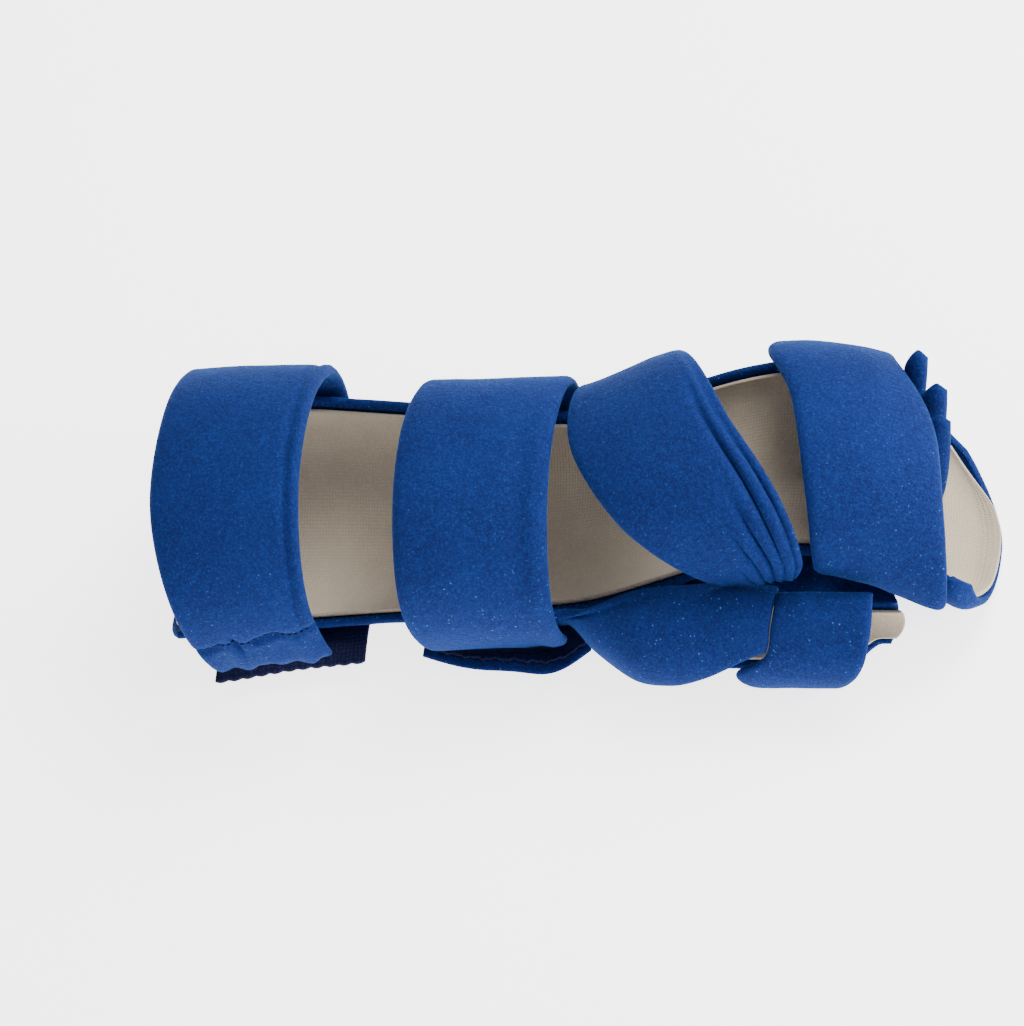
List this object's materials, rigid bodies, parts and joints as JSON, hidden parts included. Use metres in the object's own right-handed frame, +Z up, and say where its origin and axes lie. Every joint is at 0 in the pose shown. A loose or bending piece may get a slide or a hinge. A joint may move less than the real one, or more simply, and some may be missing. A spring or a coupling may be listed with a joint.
{
  "type": "hand brace",
  "caption": "Resting brace for a left forearm, wrist, hand and thumb: a lined padded trough with a thumb cradle, finger separators and soft straps fastened over the top.",
  "frame": {"origin": "on the floor under the middle of the whole brace", "axes": "+X from the elbow end to the finger end, +Z up out of the open side of the trough, and the thumb side faces -Y"},
  "size_m": [0.3324, 0.1374, 0.0966],
  "materials": {
    "blue_cloth": "brushed loop cloth",
    "tan_lining": "fine knit",
    "navy_hook": "hook tape"
  },
  "bodies": {
    "root": {"splint_cover": "blue_cloth", "splint_lining": "tan_lining", "thumb_cradle": "blue_cloth", "thumb_lining": "tan_lining", "upper_forearm_strap": "blue_cloth", "lower_forearm_strap": "blue_cloth", "upper_hook_tab": "navy_hook", "lower_tab_backing": "blue_cloth", "lower_hook_tab": "navy_hook", "hand_strap": "blue_cloth", "thenar_strap": "blue_cloth", "thumb_strap": "blue_cloth", "finger_strap": "blue_cloth", "finger_separator_1": "blue_cloth", "finger_separator_2": "blue_cloth", "finger_separator_3": "blue_cloth"}
  },
  "joints": []
}
